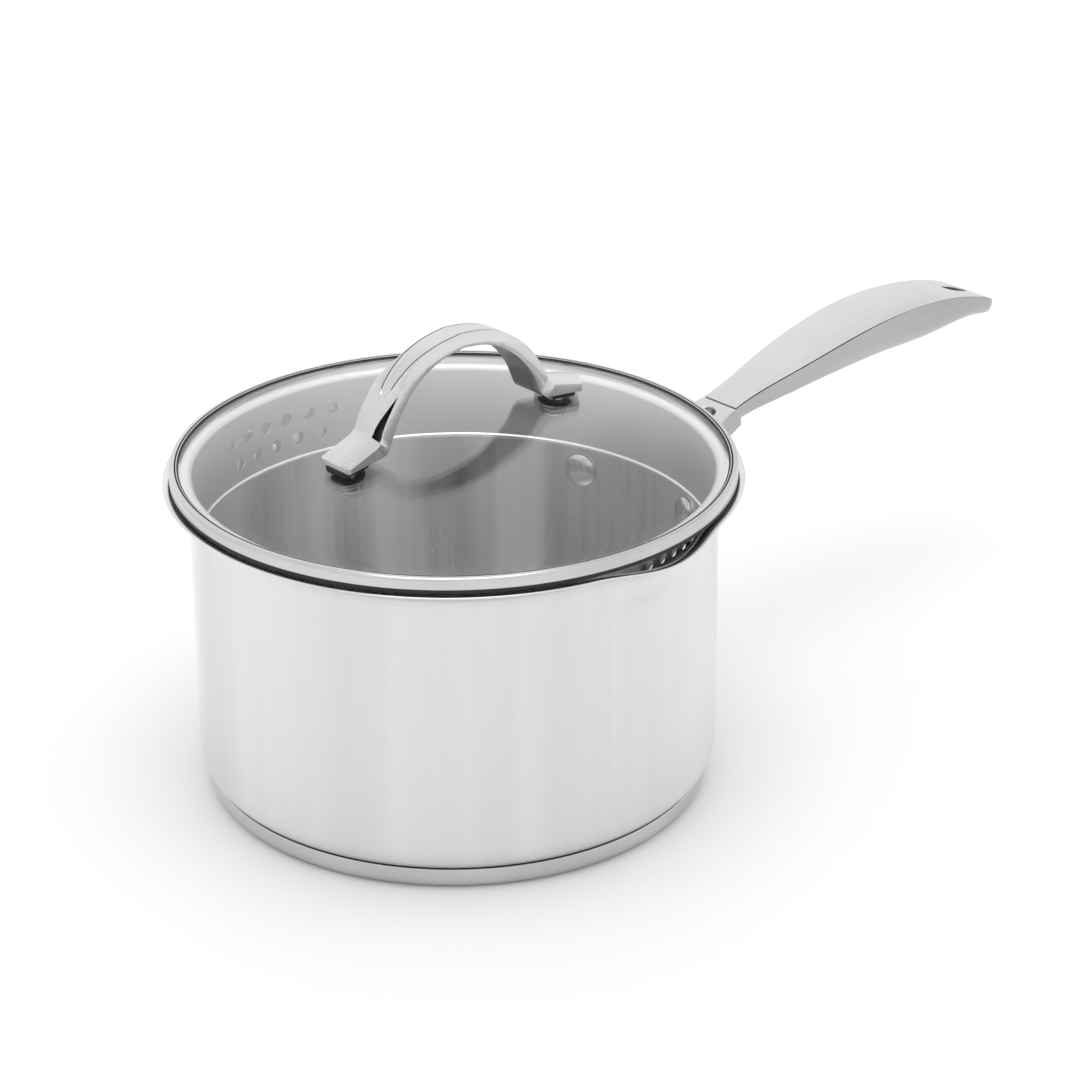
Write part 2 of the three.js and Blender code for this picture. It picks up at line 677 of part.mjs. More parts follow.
function hangHole() {
  const half = HANG_HOLE_WIDTH / 2;
  const reach = (HANG_HOLE_LENGTH - HANG_HOLE_WIDTH) / 2;
  const slot = new THREE.Shape();
  slot.absarc(HANG_HOLE_X + reach, 0, half, -Math.PI / 2, Math.PI / 2, false);
  slot.absarc(HANG_HOLE_X - reach, 0, half, Math.PI / 2, 1.5 * Math.PI, false);
  return solidOf(plate(slot, handleTop(HANG_HOLE_X) - 30, handleTop(HANG_HOLE_X) + 30, 10));
}

function handleTopPlate() {
  const form = solidOf(handleForm(0, HANDLE_ROOT, HANDLE_TIP));
  return geometryOf(form.intersect(aboveTopFace(HANDLE_WALL)).subtract(hangHole()));
}

function handleBelly() {
  const form = solidOf(handleForm(0, HANDLE_ROOT, HANDLE_TIP));
  const hollow = solidOf(handleForm(HANDLE_WALL, HANDLE_ROOT - 6, HANDLE_HOLLOW_END));
  return geometryOf(cutFrom(form, [aboveTopFace(HANDLE_WALL + GAP), hollow, hangHole()]));
}

// ---- Assembly ----

const saucepan = new THREE.Group();
const lid = new THREE.Group();
saucepan.add(lid);

function addPiece(group, name, geometry, material) {
  const mesh = new THREE.Mesh(geometry, material);
  mesh.name = name;
  group.add(mesh);
}

addPiece(saucepan, 'pan_body', panBody(), polished());
addPiece(saucepan, 'base_core_disc', baseCoreDisc(), dull());
addPiece(saucepan, 'base_cap', baseCap(), polished());
addPiece(saucepan, 'handle_fork', handleFork(), satin());
addPiece(saucepan, 'handle_top_plate', handleTopPlate(), satin());
addPiece(saucepan, 'handle_belly', handleBelly(), satin());

addPiece(lid, 'lid_band', lidBand(), polished());
addPiece(lid, 'lid_seal', sealingRing(), silicone());
addPiece(lid, 'lid_strainer_skirt', strainerSkirt(), satin());
addPiece(lid, 'lid_glass', lidGlass(), clearGlass());
addPiece(lid, 'lid_bow', lidBow(), polished());

for (const [end, side] of [['front', 1], ['rear', -1]]) {
  addPiece(lid, `lid_foot_gasket_${end}`, footGasket(side), silicone());
  addPiece(lid, `lid_soft_washer_${end}`, softWasher(side), silicone());
  addPiece(lid, `lid_steel_washer_${end}`, steelWasher(side), dull());
  addPiece(lid, `lid_screw_${end}`, lidScrew(side), dull());
}

addPiece(saucepan, 'handle_rivet_left', handleRivet(1), polished());
addPiece(saucepan, 'handle_rivet_right', handleRivet(-1), polished());

export default saucepan;
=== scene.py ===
# Looks of the saucepan with its glass lid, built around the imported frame.
# Lengths are written in millimetres and turned into metres when a mesh is made.
import math

import bmesh
import bpy
from mathutils import Matrix, Vector


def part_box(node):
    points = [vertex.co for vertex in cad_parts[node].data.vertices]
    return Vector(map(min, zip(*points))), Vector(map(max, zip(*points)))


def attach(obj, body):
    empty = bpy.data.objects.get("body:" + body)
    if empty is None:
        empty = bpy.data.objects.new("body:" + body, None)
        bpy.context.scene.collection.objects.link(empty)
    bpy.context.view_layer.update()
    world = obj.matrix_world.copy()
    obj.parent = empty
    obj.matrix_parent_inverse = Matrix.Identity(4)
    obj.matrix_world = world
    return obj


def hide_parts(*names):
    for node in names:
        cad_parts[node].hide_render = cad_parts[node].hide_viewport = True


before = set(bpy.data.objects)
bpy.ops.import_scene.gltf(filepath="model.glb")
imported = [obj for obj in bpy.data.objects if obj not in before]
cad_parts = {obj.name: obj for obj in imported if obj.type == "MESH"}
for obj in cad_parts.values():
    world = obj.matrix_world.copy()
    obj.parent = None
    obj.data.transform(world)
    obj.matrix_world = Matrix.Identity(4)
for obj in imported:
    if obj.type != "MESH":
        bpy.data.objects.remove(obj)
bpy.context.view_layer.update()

MM = 0.001
FINE = 240                         # flats round the pan and the lid
SMALL = 48                         # flats round rivets, screws and washers


def high(node, axis):
    """The highest coordinate of a CAD node along an axis, in millimetres."""
    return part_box(node)[1]["xyz".index(axis)] / MM


def low(node, axis):
    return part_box(node)[0]["xyz".index(axis)] / MM


# ---- Sizes that come from the frame ----

PAN_FLOOR = low("pan_body", "z")
CAP_RADIUS = high("base_cap", "x")
CAP_TOP = high("base_cap", "z")
BAND_OUTER = high("lid_band", "x")
BAND_BOTTOM = low("lid_band", "z")
BAND_TOP = high("lid_band", "z")
STACK_RADIUS = high("lid_seal", "x")
SEAL_BOTTOM = low("lid_seal", "z")
SEAL_TOP = high("lid_seal", "z")
SKIRT_BOTTOM = low("lid_strainer_skirt", "z")
GLASS_BOTTOM = low("lid_glass", "z")
GLASS_APEX = high("lid_glass", "z")
BOW_APEX = high("lid_bow", "z")
REAR_END = low("lid_bow", "x")
FRONT_END = high("lid_bow", "x")
FOOT_HALF = high("lid_bow", "y")
HANDLE_ROOT = low("handle_belly", "x")
HANDLE_TIP = high("handle_belly", "x")

# ---- Sizes of the finer forms ----

PAN_RADIUS = 91
PAN_WALL = 0.8
PAN_CORNER = 9.5
FLARE_START = 105
FLARE_CENTRE = 99.4
SPOUT_ANGLE = math.radians(94)
SPOUT_HALF_ANGLE = math.radians(19)
SPOUT_FOOT = 92
SPOUT_OUT = 2.9
SPOUT_DIP = 2.2

SKIRT_OUTER = 89.4
SKIRT_WALL = 0.5
FLANGE_BOTTOM = 115.05
COARSE_ROWS = ((105, 6), (96.6, 5))
COARSE_RADIUS = 2.5
COARSE_PITCH = math.radians(6.4)
FINE_ROWS = ((107, 9), (101.5, 8), (96, 7))
FINE_RADIUS = 1.5
FINE_PITCH = math.radians(4.2)

BAND_LIP = 94.65                   # inner edge of the crimp on the glass
BAND_HEM = 95.2                    # inner edge of the fold under the seal
BAND_WALL = 0.6
SEAL_INNER = 93.9
SEAM_RADIUS = BAND_LIP + 0.62       # line where the crimp's edge is rolled down on the glass
GLASS_DOME = 340
GLASS_THICKNESS = 2.9
GLASS_HOLE = 3.4
FOOT_X = 47.5
FOOT_SLOPE = math.asin(FOOT_X / GLASS_DOME)

RIVET_ANGLE = math.radians(17.5)
RIVET_HEIGHT = 79.5
RIVET_HEAD = 6.5                   # radius of the head inside the pan
RIVET_RISE = 2.7
RIVET_SHANK = 3
RIVET_TAIL = 5                     # radius of the closed end outside
TAIL_RISE = 1.75

GASKET_HALF = 5.4
WASHER_HOLE = 2.7
SOFT_WASHER = 1.4                  # thickness
SOFT_WASHER_RADIUS = 5.8
STEEL_WASHER = 0.9                 # thickness
STEEL_WASHER_RADIUS = 5.1
SCREW_HEAD = 2.8
SCREW_HEAD_RADIUS = 4.6
SCREW_RADIUS = 2.35
SCREW_END = 4.6                    # height of the screw's tip above the glass


# ---- Mesh helpers ----

def fillet(corners, closed=False):
    """Points along an outline of (x, y) or (x, y, radius) corners, with each given radius as an arc."""
    points = []
    count = len(corners)
    for i, corner in enumerate(corners):
        here = Vector(corner[:2])
        radius = corner[2] if len(corner) > 2 else 0
        if radius == 0 or (not closed and i in (0, count - 1)):
            points.append(here)
            continue
        before = (Vector(corners[i - 1][:2]) - here).normalized()
        after = (Vector(corners[(i + 1) % count][:2]) - here).normalized()
        half = before.angle(after) / 2
        reach = radius / math.tan(half)
        centre = here + (before + after).normalized() * radius / math.sin(half)
        start = here + before * reach - centre
        end = here + after * reach - centre
        turn = start.angle(end)
        steps = max(2, math.ceil(turn / math.radians(11)))
        for k in range(steps + 1):
            share = k / steps
            blend = start * math.sin((1 - share) * turn) + end * math.sin(share * turn)
            points.append(centre + blend / math.sin(turn))
    return points


def arc(centre, radius, start, end, steps):
    """Points on an arc between two angles in degrees, without its first one."""
    angles = [math.radians(start + (end - start) * k / steps) for k in range(1, steps + 1)]
    return [(centre[0] + radius * math.cos(a), centre[1] + radius * math.sin(a)) for a in angles]


def spline(knots, steps):
    """A smooth curve through points of any dimension, with the same number of steps between knots."""
    knots = [Vector(k) for k in knots]
    ends = [2 * knots[0] - knots[1], *knots, 2 * knots[-1] - knots[-2]]
    points = [knots[0]]
    for a, b, c, d in zip(ends, ends[1:], ends[2:], ends[3:]):
        for k in range(1, steps + 1):
            t = k / steps
            points.append(0.5 * (2 * b + (c - a) * t + (2 * a - 5 * b + 4 * c - d) * t ** 2
                                 + (3 * b - a - 3 * c + d) * t ** 3))
    return points


def smooth_table(pairs):
    """A function that reads a smooth curve through (x, value) pairs."""
    samples = spline(pairs, 24)

    def read(x):
        if x <= samples[0].x:
            return samples[0].y
        for a, b in zip(samples, samples[1:]):
            if x <= b.x:
                return a.y + (b.y - a.y) * (x - a.x) / (b.x - a.x)
        return samples[-1].y

    return read


def smoothstep(x, start, end):
    share = min(max((x - start) / (end - start), 0), 1)
    return share * share * (3 - 2 * share)


def make(name, vertices, faces, sharp=32):
    """An object from millimetre vertices, with smooth shading broken at edges over an angle in degrees."""
    mesh = bpy.data.meshes.new(name)
    mesh.from_pydata([Vector(v) * MM for v in vertices], [], faces)
    work = bmesh.new()
    work.from_mesh(mesh)
    bmesh.ops.remove_doubles(work, verts=work.verts, dist=1e-7)
    bmesh.ops.recalc_face_normals(work, faces=work.faces)
    work.to_mesh(mesh)
    work.free()
    smooth(mesh, sharp)
    obj = bpy.data.objects.new(name, mesh)
    bpy.context.scene.collection.objects.link(obj)
    return obj


def smooth(mesh, sharp):
    mesh.polygons.foreach_set("use_smooth", [True] * len(mesh.polygons))
    mesh.set_sharp_from_angle(angle=math.radians(sharp))


def lathe(name, outline, closed=False, flats=FINE, bend=None, sharp=32):
    """An outline of (radius, height) points turned about Z. Bend moves each vertex afterwards."""
    vertices, faces, rings = [], [], []
    for radius, height in outline:
        if radius < 1e-6:
            rings.append([len(vertices)] * flats)
            vertices.append(Vector((0, 0, height)))
            continue
        rings.append(range(len(vertices), len(vertices) + flats))
        for k in range(flats):
            angle = 2 * math.pi * k / flats
            vertices.append(Vector((radius * math.cos(angle), radius * math.sin(angle), height)))
    pairs = list(zip(rings, rings[1:])) + ([(rings[-1], rings[0])] if closed else [])
    for a, b in pairs:
        for k in range(flats):
            j = (k + 1) % flats
            corners = [a[k], a[j], b[j], b[k]]
            face = [c for n, c in enumerate(corners) if c not in corners[:n]]
            if len(face) > 2:
                faces.append(face)
    if bend:
        vertices = [bend(v) for v in vertices]
    return make(name, vertices, faces, sharp)


def rod(name, radius, bottom, top, flats=SMALL):
    """A solid cylinder about Z."""
    return lathe(name, [(0, bottom), (radius, bottom), (radius, top), (0, top)], flats=flats)


def loft(name, rings, sharp=32):
    """A skin over rings of the same number of points, closed at both ends."""
    size = len(rings[0])
    vertices = [p for ring in rings for p in ring]
    faces = [list(range(size)), list(range(len(vertices) - size, len(vertices)))]
    for row in range(len(rings) - 1):
        for k in range(size):
            j = (k + 1) % size
            faces.append([row * size + k, row * size + j, (row + 1) * size + j, (row + 1) * size + k])
    return make(name, vertices, faces, sharp)


def slab(name, outline, bottom, top, edge=0.0):
    """A flat outline in the XY plane given a thickness, with rounded edges."""
    points = [Vector(p[:2]) for p in outline]
    count = len(points)
    area = sum(a.cross(b) for a, b in zip(points, points[1:] + points[:1]))
    side = 1 if area > 0 else -1

    def inset(amount):
        moved = []
        for k, p in enumerate(points):
            along = points[(k + 1) % count] - points[k - 1]
            inward = Vector((-along.y, along.x)).normalized() * side
            moved.append(p + inward * amount)
        return moved

    steps = [(edge, 0), (edge * 0.3, edge * 0.3), (0, edge)] if edge else [(0, 0)]
    levels = [(i, bottom + h) for i, h in steps] + [(i, top - h) for i, h in reversed(steps)]
    return loft(name, [[(p.x, p.y, z) for p in inset(i)] for i, z in levels])


def place(obj, matrix):
    obj.data.transform(matrix)
    return obj


def turned_to(axis_angle, height=0.0):
    """From a part made along Z to one that points out along +X, turned about Z, at a height."""
    lay = Matrix.Rotation(math.pi / 2, 4, "Y")
    return Matrix.Rotation(axis_angle, 4, "Z") @ Matrix.Translation((0, 0, height * MM)) @ lay


def at_foot(side):
    """From the glass surface at the origin, with its outward side at +Z, to one foot of the bow."""
    place_at = Matrix.Translation((side * FOOT_X * MM, 0, dome_top(FOOT_X) * MM))
    return place_at @ Matrix.Rotation(side * FOOT_SLOPE, 4, "Y")


def merged(name, objects):
    """Several objects as one."""
    work = bmesh.new()
    for obj in objects:
        work.from_mesh(obj.data)
        bpy.data.objects.remove(obj)
    mesh = bpy.data.meshes.new(name)
    work.to_mesh(mesh)
    work.free()
    obj = bpy.data.objects.new(name, mesh)
    bpy.context.scene.collection.objects.link(obj)
    return obj


def boolean(obj, tool, operation="DIFFERENCE", sharp=32):
    """Cuts a tool out of an object, or keeps what they share, and removes the tool."""
    modifier = obj.modifiers.new("cut", "BOOLEAN")
    modifier.operation = operation
    modifier.solver = "EXACT"
    modifier.object = tool
    settle(obj, sharp)
    bpy.data.objects.remove(tool)
    return obj


def settle(obj, sharp=32):
    """Applies an object's modifiers to its mesh."""
    bpy.context.view_layer.update()
    graph = bpy.context.evaluated_depsgraph_get()
    mesh = bpy.data.meshes.new_from_object(obj.evaluated_get(graph))
    obj.modifiers.clear()
    obj.data = mesh
    smooth(mesh, sharp)
    return obj


def put(obj, body, slot, nodes, *materials, pick=None):
    """Gives a finished piece its materials, its body and the CAD nodes that it stands for. The slot is not
    used.
    """
    obj.data.materials.clear()
    for material in materials:
        obj.data.materials.append(material)
    if pick:
        for face in obj.data.polygons:
            face.material_index = pick(face.center / MM, face.normal)
    else:
        obj.data.polygons.foreach_set("material_index", [0] * len(obj.data.polygons))
    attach(obj, body)
    if nodes:
        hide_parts(*nodes)
    return obj


# ---- Material helpers ----

class Nodes:
    """A small writer of node trees."""

    def __init__(self, name):
        self.material = bpy.data.materials.new(name)
        self.material.use_nodes = True
        self.tree = self.material.node_tree
        self.shader = self.tree.nodes["Principled BSDF"]
        self.place = self.add("ShaderNodeTexCoord").outputs["Object"]

    def add(self, kind, **values):
        node = self.tree.nodes.new(kind)
        for key, value in values.items():
            setattr(node, key, value)
        return node

    def link(self, source, target):
        self.tree.links.new(source, target)

    def put(self, socket, value):
        if isinstance(value, bpy.types.NodeSocket):
            self.link(value, socket)
        else:
            socket.default_value = value

    def math(self, operation, a, b=0.0):
        node = self.add("ShaderNodeMath", operation=operation)
        self.put(node.inputs[0], a)
        self.put(node.inputs[1], b)
        return node.outputs[0]

    def stretched(self, x, y, z):
        """Object coordinates in metres, scaled along each axis."""
        node = self.add("ShaderNodeMapping")
        node.inputs["Scale"].default_value = (x, y, z)
        self.link(self.place, node.inputs["Vector"])
        return node.outputs[0]

    def round_the_axis(self, around, across):
        """Coordinates for streaks on a turned piece: across Z by its height, and round it by its angle."""
        split = self.add("ShaderNodeSeparateXYZ")
        self.link(self.place, split.inputs[0])
        x, y, z = split.outputs
        squares = self.math("ADD", self.math("MULTIPLY", x, x), self.math("MULTIPLY", y, y))
        radius = self.math("SQRT", squares)
        safe = self.math("MAXIMUM", radius, 0.004)
        join = self.add("ShaderNodeCombineXYZ")
        self.link(self.math("MULTIPLY", self.math("DIVIDE", x, safe), around), join.inputs[0])
        self.link(self.math("MULTIPLY", self.math("DIVIDE", y, safe), around), join.inputs[1])
        self.link(self.math("MULTIPLY", self.math("ADD", z, radius), across), join.inputs[2])
        return join.outputs[0]

    def noise(self, vector, scale=1.0, detail=4.0, roughness=0.55):
        node = self.add("ShaderNodeTexNoise")
        self.link(vector, node.inputs["Vector"])
        node.inputs["Scale"].default_value = scale
        node.inputs["Detail"].default_value = detail
        node.inputs["Roughness"].default_value = roughness
        return node.outputs["Fac"]

    def ranged(self, value, low_in, high_in, low_out, high_out):
        node = self.add("ShaderNodeMapRange", interpolation_type="SMOOTHSTEP")
        self.put(node.inputs["Value"], value)
        for key, number in (("From Min", low_in), ("From Max", high_in),
                            ("To Min", low_out), ("To Max", high_out)):
            node.inputs[key].default_value = number
        return node.outputs[0]

    def tinted(self, value, dark, light):
        """A colour between two, by a value from 0 to 1."""
        node = self.add("ShaderNodeMix", data_type="RGBA")
        self.put(node.inputs["Factor"], value)
        node.inputs["A"].default_value = (*dark, 1)
        node.inputs["B"].default_value = (*light, 1)
        return node.outputs["Result"]

    def bump(self, height, strength, distance):
        node = self.add("ShaderNodeBump")
        node.inputs["Strength"].default_value = strength
        node.inputs["Distance"].default_value = distance
        self.link(height, node.inputs["Height"])
        self.link(node.outputs[0], self.shader.inputs["Normal"])

    def set(self, **values):
        for key, value in values.items():
            self.put(self.shader.inputs[key.replace("_", " ")], value)


def steel(name, dark, light, rough, lines, grain, depth, anisotropic=0.0, patches=None):
    """Steel with drawn or spun lines. Lines and patches give the coordinates of their patterns."""
    nodes = Nodes(name)
    streaks = nodes.noise(lines(nodes), 1.0, 3.0, 0.6)
    clouds = nodes.noise((patches or clouded)(nodes), 1.0, 3.0, 0.5)
    streaks = nodes.ranged(streaks, 0.3, 0.7, 0.0, 1.0)
    clouds = nodes.ranged(clouds, 0.32, 0.68, 0.0, 1.0)
    along = nodes.math("MULTIPLY", streaks, grain)
    between = nodes.math("MULTIPLY", clouds, 1 - grain)
    both = nodes.math("ADD", along, between)
    nodes.set(Metallic=1.0, Base_Color=nodes.tinted(both, dark, light))
    nodes.set(Roughness=nodes.ranged(both, 0.0, 1.0, rough[0], rough[1]))
    nodes.bump(streaks, depth, 0.0002)
    if anisotropic:
        nodes.set(Anisotropic=anisotropic, Anisotropic_Rotation=0.25)
        tangent = nodes.add("ShaderNodeTangent", direction_type="RADIAL", axis="Z")
        nodes.link(tangent.outputs[0], nodes.shader.inputs["Tangent"])
    return nodes.material


def silicone():
    nodes = Nodes("black_silicone")
    speckle = nodes.noise(nodes.stretched(1, 1, 1), 900.0, 2.0)
    nodes.set(Base_Color=nodes.tinted(speckle, (0.008, 0.008, 0.009), (0.022, 0.022, 0.023)))
    nodes.set(Roughness=nodes.ranged(speckle, 0.3, 0.7, 0.45, 0.7))
    nodes.bump(speckle, 0.12, 0.0002)
    return nodes.material


def clear_glass():
    nodes = Nodes("clear_glass")
    smears = nodes.noise(nodes.stretched(1, 1, 1), 16.0, 1.0, 0.4)
    nodes.set(Transmission_Weight=1.0, IOR=1.5, Roughness=0.0)
    nodes.set(Base_Color=nodes.tinted(smears, (0.955, 0.975, 0.968), (0.985, 0.995, 0.99)))
    return nodes.material


def pale_floor():
    nodes = Nodes("pale_floor")
    mottle = nodes.noise(nodes.stretched(1, 1, 1), 3.0, 3.0)
    nodes.set(Base_Color=nodes.tinted(mottle, (0.9, 0.9, 0.9), (0.915, 0.915, 0.915)))
    nodes.set(Roughness=0.6)
    return nodes.material


def spun(nodes):
    return nodes.round_the_axis(1.2, 1600)


def upright(nodes):
    return nodes.round_the_axis(46, 3)


def along_x(nodes):
    return nodes.stretched(26, 1500, 40)


def round_belly(nodes):
    return nodes.stretched(14, 700, 420)


def clouded(nodes):
    return nodes.stretched(22, 22, 22)


def broad_bands(nodes):
    return nodes.round_the_axis(2.7, 1.5)


def fine_mottle(nodes):
    return nodes.stretched(520, 520, 520)


POLISHED = steel(
    "polished_steel", (0.66, 0.66, 0.665), (0.76, 0.76, 0.765), (0.08, 0.17), upright, 0.14, 0.008,
    patches=broad_bands)
RIM = steel("polished_rim", (0.52, 0.52, 0.525), (0.62, 0.62, 0.625), (0.08, 0.16), spun, 0.3, 0.01)
# Satin steel inside the pan: fine upright brushing lines, and broad upright bands from dark to light that
# paint reflection streaks.
INSIDE_PAINTED_STREAKS = steel(
    "satin_inside", (0.3, 0.3, 0.302), (0.9, 0.9, 0.902), (0.24, 0.34), upright, 0.1, 0.006, 0.4,
    patches=broad_bands)
PAN_FLOOR_INSIDE = steel(
    "satin_floor", (0.42, 0.42, 0.422), (0.52, 0.52, 0.522), (0.26, 0.36), spun, 0.3, 0.02, 0.5)
SKIRT = steel("satin_skirt", (0.8, 0.8, 0.802), (0.87, 0.87, 0.872), (0.28, 0.36), spun, 0.2, 0.004)
HANDLE_TOP = steel(
    "satin_handle_top", (0.6, 0.6, 0.605), (0.7, 0.7, 0.705), (0.26, 0.36), along_x, 0.45, 0.06)
# A darker copy of the handle's satin steel for the belly and the fork's lower faces: painted shade.
HANDLE_PAINTED_SHADE = steel(
    "satin_handle", (0.4, 0.4, 0.402), (0.48, 0.48, 0.482), (0.26, 0.38), round_belly, 0.3, 0.015)
# A darker copy of the bow's steel for its inner side: painted shade.
BOW_PAINTED_SHADE = steel("bow_painted_shade", (0.27, 0.27, 0.272), (0.34, 0.34, 0.342), (0.2, 0.3), along_x, 0.4, 0.02)
BOW = steel("polished_bow", (0.58, 0.58, 0.585), (0.68, 0.68, 0.685), (0.16, 0.25), along_x, 0.5, 0.03)
# Near-black steel: painted shade on the crimp's rolled-down line, the bow's panel line and the slots in its
# legs.
PAINTED_SHADE_STEEL = steel("painted_shade_steel", (0.03, 0.03, 0.031), (0.07, 0.07, 0.071), (0.35, 0.5), fine_mottle, 0.5, 0.02)
FASTENER = steel(
    "fastener_steel", (0.5, 0.5, 0.505), (0.62, 0.62, 0.625), (0.14, 0.26), fine_mottle, 0.6, 0.08)
CORE = steel("core_aluminium", (0.6, 0.6, 0.61), (0.72, 0.72, 0.73), (0.35, 0.5), spun, 0.7, 0.2)
SILICONE = silicone()
GLASS = clear_glass()


# ---- Pan ----

def press_spouts(v):
    """Pulls a vertex of the rim out and down where it lies on a pouring lip."""
    radius = math.hypot(v.x, v.y)
    if radius < PAN_RADIUS / 2:
        return v
    off_line = abs(math.asin(math.sin(math.atan2(v.y, v.x) - SPOUT_ANGLE)))
    across = min(off_line / SPOUT_HALF_ANGLE, 1)
    share = smoothstep(v.z, SPOUT_FOOT, FLARE_START) * (0.5 + 0.5 * math.cos(math.pi * across))
    stretch = 1 + SPOUT_OUT * share / radius
    return Vector((v.x * stretch, v.y * stretch, v.z - SPOUT_DIP * share))


def pan():
    inner = PAN_RADIUS - PAN_WALL
    corner = (PAN_RADIUS - PAN_CORNER, PAN_FLOOR + PAN_CORNER)
    flare = FLARE_CENTRE - PAN_RADIUS
    centre = (FLARE_CENTRE, FLARE_START)
    rises = [SPOUT_FOOT + (FLARE_START - SPOUT_FOOT) * k / 10 for k in range(11)]
    lip = (FLARE_CENTRE - 0.05, FLARE_START + flare + PAN_WALL / 2)
    outline = [
        (0, PAN_FLOOR),
        (corner[0], PAN_FLOOR),
        *arc(corner, PAN_CORNER, -90, 0, 14),
        *[(PAN_RADIUS, z) for z in rises],
        *arc(centre, flare, 180, 90, 14),
        *arc(lip, PAN_WALL / 2 - 0.02, -90, 90, 8),
        *arc(centre, flare + PAN_WALL, 90, 180, 14),
        *[(inner, z) for z in reversed(rises)],
        (inner, corner[1]),
        *arc(corner, PAN_CORNER - PAN_WALL, 0, -90, 12),
        (0, PAN_FLOOR + PAN_WALL),
    ]
    body = lathe("pan_shell", outline, bend=press_spouts)

    def surface(centre_of_face, normal):
        outward = Vector((centre_of_face.x, centre_of_face.y)).length
        facing = normal.x * centre_of_face.x + normal.y * centre_of_face.y
        if outward > PAN_RADIUS or centre_of_face.z > FLARE_START:
            return 0
        if normal.z > 0.9 and centre_of_face.z < 20:
            return 2
        return 1 if facing < 0 else 0

    put(body, "pan", "polished_steel", ["pan_body"], POLISHED, INSIDE_PAINTED_STREAKS, PAN_FLOOR_INSIDE, pick=surface)


def base():
    ring_cuts = []
    for radius in (24, 48, 72):
        ring_cuts += [(radius - 0.6, 0), (radius, 0.22), (radius + 0.6, 0)]
    outline = fillet([
        (0, 0),
        *ring_cuts,
        (CAP_RADIUS, 0, 4.5),
        (CAP_RADIUS, CAP_TOP, 0.25),
        (CAP_RADIUS - 0.6, CAP_TOP, 0.1),
        (CAP_RADIUS - 0.6, 0.6, 3.9),
        (0, 0.6),
    ])
    cap = lathe("base_cap_shell", outline)
    put(cap, "pan", "polished_steel", ["base_cap"], RIM)
    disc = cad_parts["base_core_disc"]
    disc.data.materials.clear()
    disc.data.materials.append(CORE)


# ---- Lid rim ----

def band():
    wall = BAND_OUTER - BAND_WALL
    step = BAND_BOTTOM + 1.45
    outline = fillet([
        (BAND_HEM, BAND_BOTTOM + 0.05, 0.1),
        (wall, BAND_BOTTOM + 0.05, 0.2),
        (wall, step, 0.05),
        (BAND_OUTER, step, 0.25),
        (BAND_OUTER, BAND_TOP, 1.3),
        (SEAM_RADIUS + 0.3, BAND_TOP),
        (SEAM_RADIUS, BAND_TOP - 0.3),
        (SEAM_RADIUS - 0.3, BAND_TOP),
        (BAND_LIP, BAND_TOP, 0.2),
        (BAND_LIP, BAND_TOP - BAND_WALL, 0.15),
        (STACK_RADIUS + 0.05, BAND_TOP - BAND_WALL),
        (STACK_RADIUS + 0.05, BAND_BOTTOM + BAND_WALL),
        (BAND_HEM, BAND_BOTTOM + BAND_WALL, 0.1),
    ], closed=True)

    # Painted shade: the faces of the rolled-down line on the crimp's top take the near-black steel.
    def seam(centre, normal):
        off = abs(math.hypot(centre.x, centre.y) - SEAM_RADIUS)
        return 1 if off < 0.35 and centre.z > BAND_TOP - 0.5 and abs(normal.z) < 0.95 else 0

    rim = lathe("rim_band", outline, closed=True)
    put(rim, "lid", "polished_steel", ["lid_band"], RIM, PAINTED_SHADE_STEEL, pick=seam)

    # A thin black ring under the crimp's lip at the glass edge, drawn for the dark line just inside the
    # crimp.
    bead = fillet([
        (BAND_LIP - 0.75, BAND_TOP - BAND_WALL - 0.18, 0.05),
        (BAND_LIP + 0.3, BAND_TOP - BAND_WALL - 0.16, 0.02),
        (BAND_LIP + 0.3, BAND_TOP - BAND_WALL - 0.03, 0.02),
        (BAND_LIP - 0.35, BAND_TOP - BAND_WALL + 0.1, 0.1),
    ], closed=True)
    put(lathe("glass_edge_bead", bead, closed=True), "lid", "black_silicone", [], SILICONE)


def seal():
    ring = fillet([
        (SEAL_INNER, SEAL_BOTTOM, 0.15),
        (STACK_RADIUS, SEAL_BOTTOM, 0.15),
        (STACK_RADIUS, SEAL_TOP, 0.15),
        (SEAL_INNER, SEAL_TOP, 0.15),
    ], closed=True)
    wall = BAND_OUTER - BAND_WALL
    # A black ring put in the gap under the band's outer wall: a dark piece that paints the shade between
    # band and lip, merged with the real seal ring.
    shade_gap_ring = fillet([
        (wall + 0.02, BAND_BOTTOM + 0.1, 0.05),
        (wall + 0.45, BAND_BOTTOM + 0.1, 0.15),
        (wall + 0.45, BAND_BOTTOM + 1.38, 0.05),
        (wall + 0.02, BAND_BOTTOM + 1.38, 0.05),
    ], closed=True)
    both = merged("seal_and_shade_gap_ring", [
        lathe("seal_ring", ring, closed=True), lathe("shade_gap_bead", shade_gap_ring, closed=True),
    ])
    smooth(both.data, 40)
    put(both, "lid_seat", "black_silicone", ["lid_seal"], SILICONE)


def round_normals(mesh):
    """Shades the upright faces of a drilled turned piece as if they were truly round."""
    normals = [Vector(corner.vector) for corner in mesh.corner_normals]
    for face in mesh.polygons:
        out = Vector((face.center.x, face.center.y, 0)).normalized()
        if abs(face.normal.dot(out)) < 0.995:
            continue
        side = math.copysign(1, face.normal.dot(out))
        for i in face.loop_indices:
            spot = mesh.vertices[mesh.loops[i].vertex_index].co
            normals[i] = Vector((spot.x, spot.y, 0)).normalized() * side
    mesh.normals_split_custom_set(normals)


